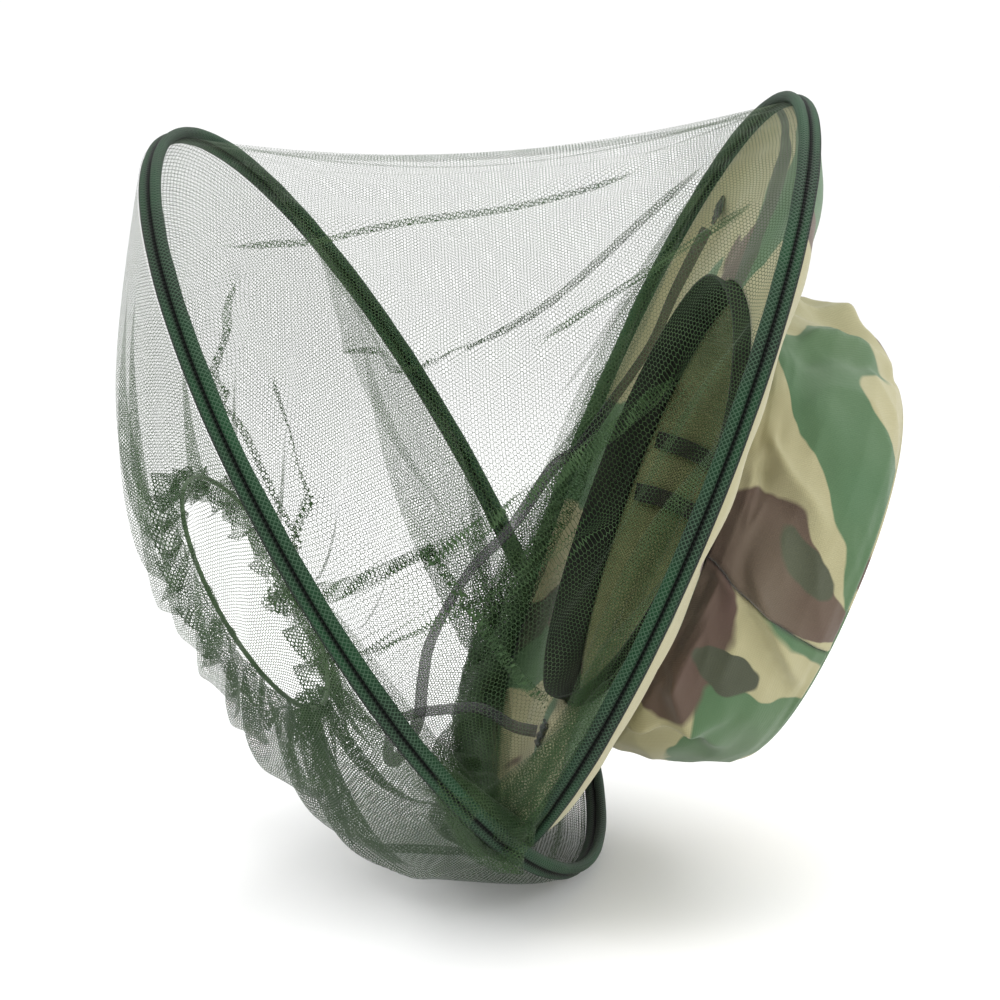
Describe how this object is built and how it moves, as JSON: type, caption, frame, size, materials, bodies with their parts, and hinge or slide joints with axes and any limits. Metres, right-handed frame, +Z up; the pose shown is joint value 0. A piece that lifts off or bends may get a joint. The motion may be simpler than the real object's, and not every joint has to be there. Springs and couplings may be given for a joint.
{
  "type": "beekeeping veil",
  "caption": "Soft brimmed hat on a spring hoop with a net wall to a lower hoop and a gathered net skirt with an elastic neck opening.",
  "frame": {"origin": "centre of the footprint's bounding box, on the table", "axes": "+Z up as it lies on the table, +X from the net skirt towards the crown, +Y across both hoops, away from the viewer"},
  "size_m": [0.3519, 0.3922, 0.3624],
  "materials": {
    "spring_steel": "drawn wire",
    "hoop_casing": "woven tape",
    "camo_cloth": "printed twill",
    "black_band": "matte",
    "olive_lining": "open weave",
    "dark_tape": "matte",
    "ribbon": "satin",
    "green_net": "hexagonal net",
    "elastic": "matte"
  },
  "bodies": {
    "hat": {"brim_wire": "spring_steel", "brim_binding": "hoop_casing", "brim_upper": "camo_cloth", "brim_underside": "camo_cloth", "sweatband": "black_band", "crown_front": "camo_cloth", "crown_back": "camo_cloth", "crown_top": "camo_cloth", "lining_side": "olive_lining", "lining_top": "olive_lining", "lining_tape_a": "dark_tape", "lining_tape_b": "dark_tape", "strap_tab_upper": "ribbon", "strap_tab_lower": "ribbon"},
    "veil_hoop": {"lower_wire": "spring_steel", "lower_binding": "hoop_casing", "skirt_net": "green_net", "neck_hem": "green_net", "neck_elastic": "elastic", "veil_net": "green_net"},
    "strap": {"chin_strap": "ribbon"}
  },
  "joints": [
    {"name": "hoop_fold", "type": "hinge", "parent": "hat", "child": "veil_hoop", "pos_m": [0.00459, 0.02414, 0.06572], "axis": [0.0202, 0.9728, 0.231], "range_deg": [-10, 45], "deforming": ["veil_net"]},
    {"name": "strap_swing", "type": "hinge", "parent": "hat", "child": "strap", "pos_m": [0.09712, 0.10425, 0.29774], "axis": [-0.32, -0.4091, -0.8545], "range_deg": [-20, 10]}
  ]
}
